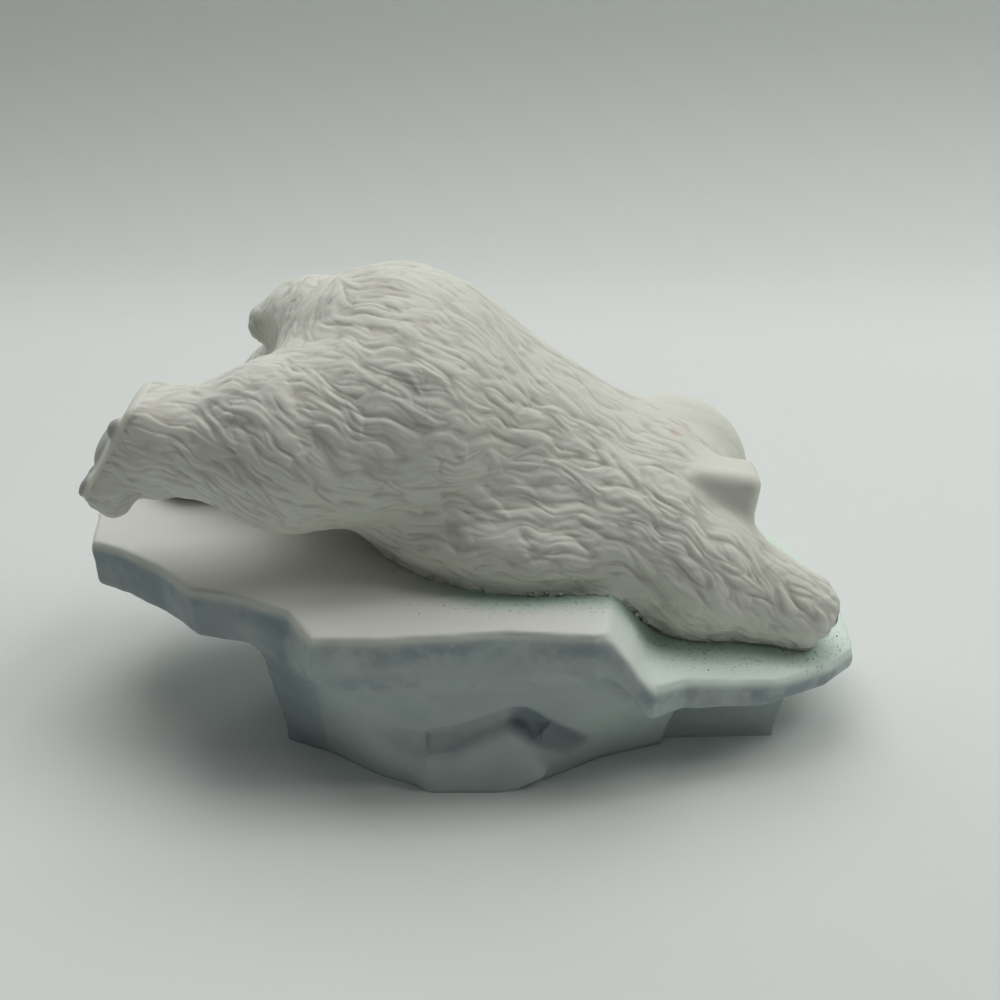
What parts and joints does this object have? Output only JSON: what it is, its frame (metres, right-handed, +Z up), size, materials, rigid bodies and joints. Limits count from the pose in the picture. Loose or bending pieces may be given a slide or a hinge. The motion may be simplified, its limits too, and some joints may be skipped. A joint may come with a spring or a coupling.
{
  "type": "polar bear figurine",
  "caption": "Hollow bisque porcelain polar bear stretched face down over an overhanging ice floe with a flat underside.",
  "frame": {"origin": "middle of the bounding box in plan, on the plane of the flat underside that the figurine stands on", "axes": "+Z up; -X toward the raised forepaw and the high end of the ice, +X toward the tail; -Y toward the side that shows the near flank"},
  "size_m": [0.1738, 0.0948, 0.1006],
  "materials": {
    "bisque_porcelain": "unglazed matt bisque, the ice airbrushed pale green and slate"
  },
  "bodies": {
    "root": {"polar_bear_figurine": "bisque_porcelain"}
  },
  "joints": []
}
